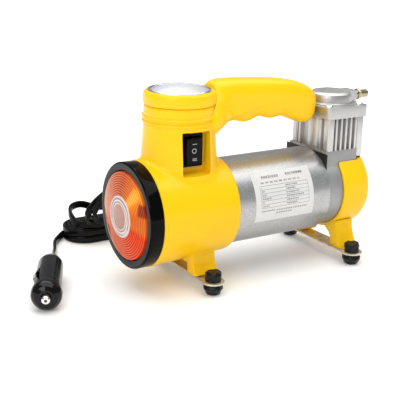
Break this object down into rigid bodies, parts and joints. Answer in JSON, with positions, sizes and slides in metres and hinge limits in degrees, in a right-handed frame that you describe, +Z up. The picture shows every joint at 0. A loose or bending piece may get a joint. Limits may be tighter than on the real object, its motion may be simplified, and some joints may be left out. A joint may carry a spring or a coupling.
{
  "type": "portable tire inflator",
  "caption": "Hand-carried 12 V tire inflator: lamp, gauge column with rocker switch, carry handle, motor, piston compressor, rubber feet and a coiled lead with a lighter plug.",
  "frame": {"origin": "under the middle of the body's length and width, on the floor that the feet stand on, without the lead", "axes": "+X from the lamp towards the compressor and its outlet, +Y towards the side where the lead leaves, +Z up"},
  "size_m": [0.2726, 0.1725, 0.1366],
  "materials": {
    "yellow_shell": "bright yellow moulded plastic, glossy",
    "black_gloss": "black moulded plastic, glossy",
    "lens_red": "orange-red clear plastic with rings",
    "lens_clear": "clear moulded plastic",
    "mirror_bowl": "metallised plastic bowl",
    "bulb_glass": "clear bulb",
    "bezel_steel": "polished ring",
    "gauge_can": "pressed steel",
    "dial_card": "white printed card on a plate",
    "needle_black": "black pointer",
    "clear_lens": "clear window",
    "brass_parts": "plain brass",
    "dark_rubber": "soft black rubber",
    "lead_vinyl": "flexible glossy black sheath",
    "bright_steel": "zinc-plated steel, satin",
    "strip_steel": "passivated steel strip",
    "plain_steel": "plain machined steel",
    "magnet_grey": "sintered ferrite",
    "copper": "enamelled copper wire and copper bars",
    "brown_board": "moulded phenolic",
    "label_white": "printed paper film",
    "plate_black": "black painted plate",
    "cast_aluminium": "die cast, satin",
    "seal_white": "low-friction sealing ring",
    "gasket_grey": "fibre gasket"
  },
  "bodies": {
    "inflator": {"front_housing": "yellow_shell", "column_cap": "yellow_shell", "handle_left": "yellow_shell", "handle_right": "yellow_shell", "rear_cover": "yellow_shell", "housing_screws": "bright_steel", "foot_strips": "strip_steel", "rubber_feet": "dark_rubber", "lamp_ring": "black_gloss", "lamp_lens": "lens_red", "lamp_lens_center": "lens_clear", "lamp_reflector": "mirror_bowl", "lamp_bulbs": "bulb_glass", "switch_body": "black_gloss", "gauge_case": "gauge_can", "gauge_bezel": "bezel_steel", "gauge_glass": "clear_lens", "gauge_dial": "dial_card", "gauge_movement": "brass_parts", "gauge_pipe": "dark_rubber", "motor_can": "bright_steel", "field_magnets": "magnet_grey", "shaft_bearings": "plain_steel", "brush_end_cap": "brown_board", "carbon_brushes": "magnet_grey", "rating_label": "label_white", "motor_plate": "plate_black", "crankcase": "cast_aluminium", "cylinder_block": "cast_aluminium", "head_gasket": "gasket_grey", "valve_plate": "gauge_can", "cylinder_head": "cast_aluminium", "head_screws": "bright_steel", "outlet_nipple": "brass_parts", "cord_gland": "dark_rubber", "cord_lead": "lead_vinyl", "cord_coil": "lead_vinyl", "cord_tail": "lead_vinyl", "plug_body": "black_gloss", "plug_nose_ring": "black_gloss", "plug_tip_spring": "plain_steel", "plug_fuse": "bulb_glass"},
    "rotor": {"motor_shaft": "plain_steel", "armature_core": "plain_steel", "armature_windings": "copper", "commutator": "copper", "crank_disc": "plain_steel"},
    "piston": {"piston": "cast_aluminium", "piston_seal": "seal_white", "wrist_pin": "plain_steel"},
    "rod": {"connecting_rod": "cast_aluminium", "rod_bearing": "plain_steel", "crank_pin": "plain_steel"},
    "rocker": {"switch_rocker": "black_gloss"},
    "needle": {"gauge_needle": "needle_black"},
    "reed": {"outlet_reed": "gauge_can"},
    "tip": {"plug_tip": "bezel_steel"},
    "contact_left": {"plug_contact_left": "plain_steel"},
    "contact_right": {"plug_contact_right": "plain_steel"}
  },
  "joints": [
    {"name": "motor_spin", "type": "hinge", "parent": "inflator", "child": "rotor", "pos_m": [0, 0, 0.0509], "axis": [1, 0, 0], "continuous": true},
    {"name": "piston_slide", "type": "slide", "parent": "inflator", "child": "piston", "axis": [0, 0, 1], "range_m": [-0.014, 0]},
    {"name": "rod_swing", "type": "hinge", "parent": "piston", "child": "rod", "pos_m": [0.06775, 0, 0.0985], "axis": [1, 0, 0], "range_deg": [-9.9, 9.9]},
    {"name": "rocker_tilt", "type": "hinge", "parent": "inflator", "child": "rocker", "pos_m": [-0.05925, -0.0148, 0.0946], "axis": [1, 0, 0], "range_deg": [-10, 10]},
    {"name": "needle_turn", "type": "hinge", "parent": "inflator", "child": "needle", "pos_m": [-0.05925, 0, 0.1282], "axis": [0, 0, -1], "range_deg": [0, 270], "stiffness_Nm_per_rad": 0.00001},
    {"name": "reed_lift", "type": "hinge", "parent": "inflator", "child": "reed", "pos_m": [0.06175, 0, 0.1074], "axis": [0, -1, 0], "range_deg": [0, 8], "stiffness_Nm_per_rad": 0.0001},
    {"name": "tip_press", "type": "slide", "parent": "inflator", "child": "tip", "axis": [0.4352, 0.9003, 0], "range_m": [0, 0.0025], "stiffness_N_per_m": 600},
    {"name": "contact_left_press", "type": "slide", "parent": "inflator", "child": "contact_left", "axis": [0.6897, -0.3334, -0.6428], "range_m": [0, 0.0012], "stiffness_N_per_m": 800},
    {"name": "contact_right_press", "type": "slide", "parent": "inflator", "child": "contact_right", "axis": [-0.6897, 0.3334, 0.6428], "range_m": [0, 0.0012], "stiffness_N_per_m": 800}
  ]
}
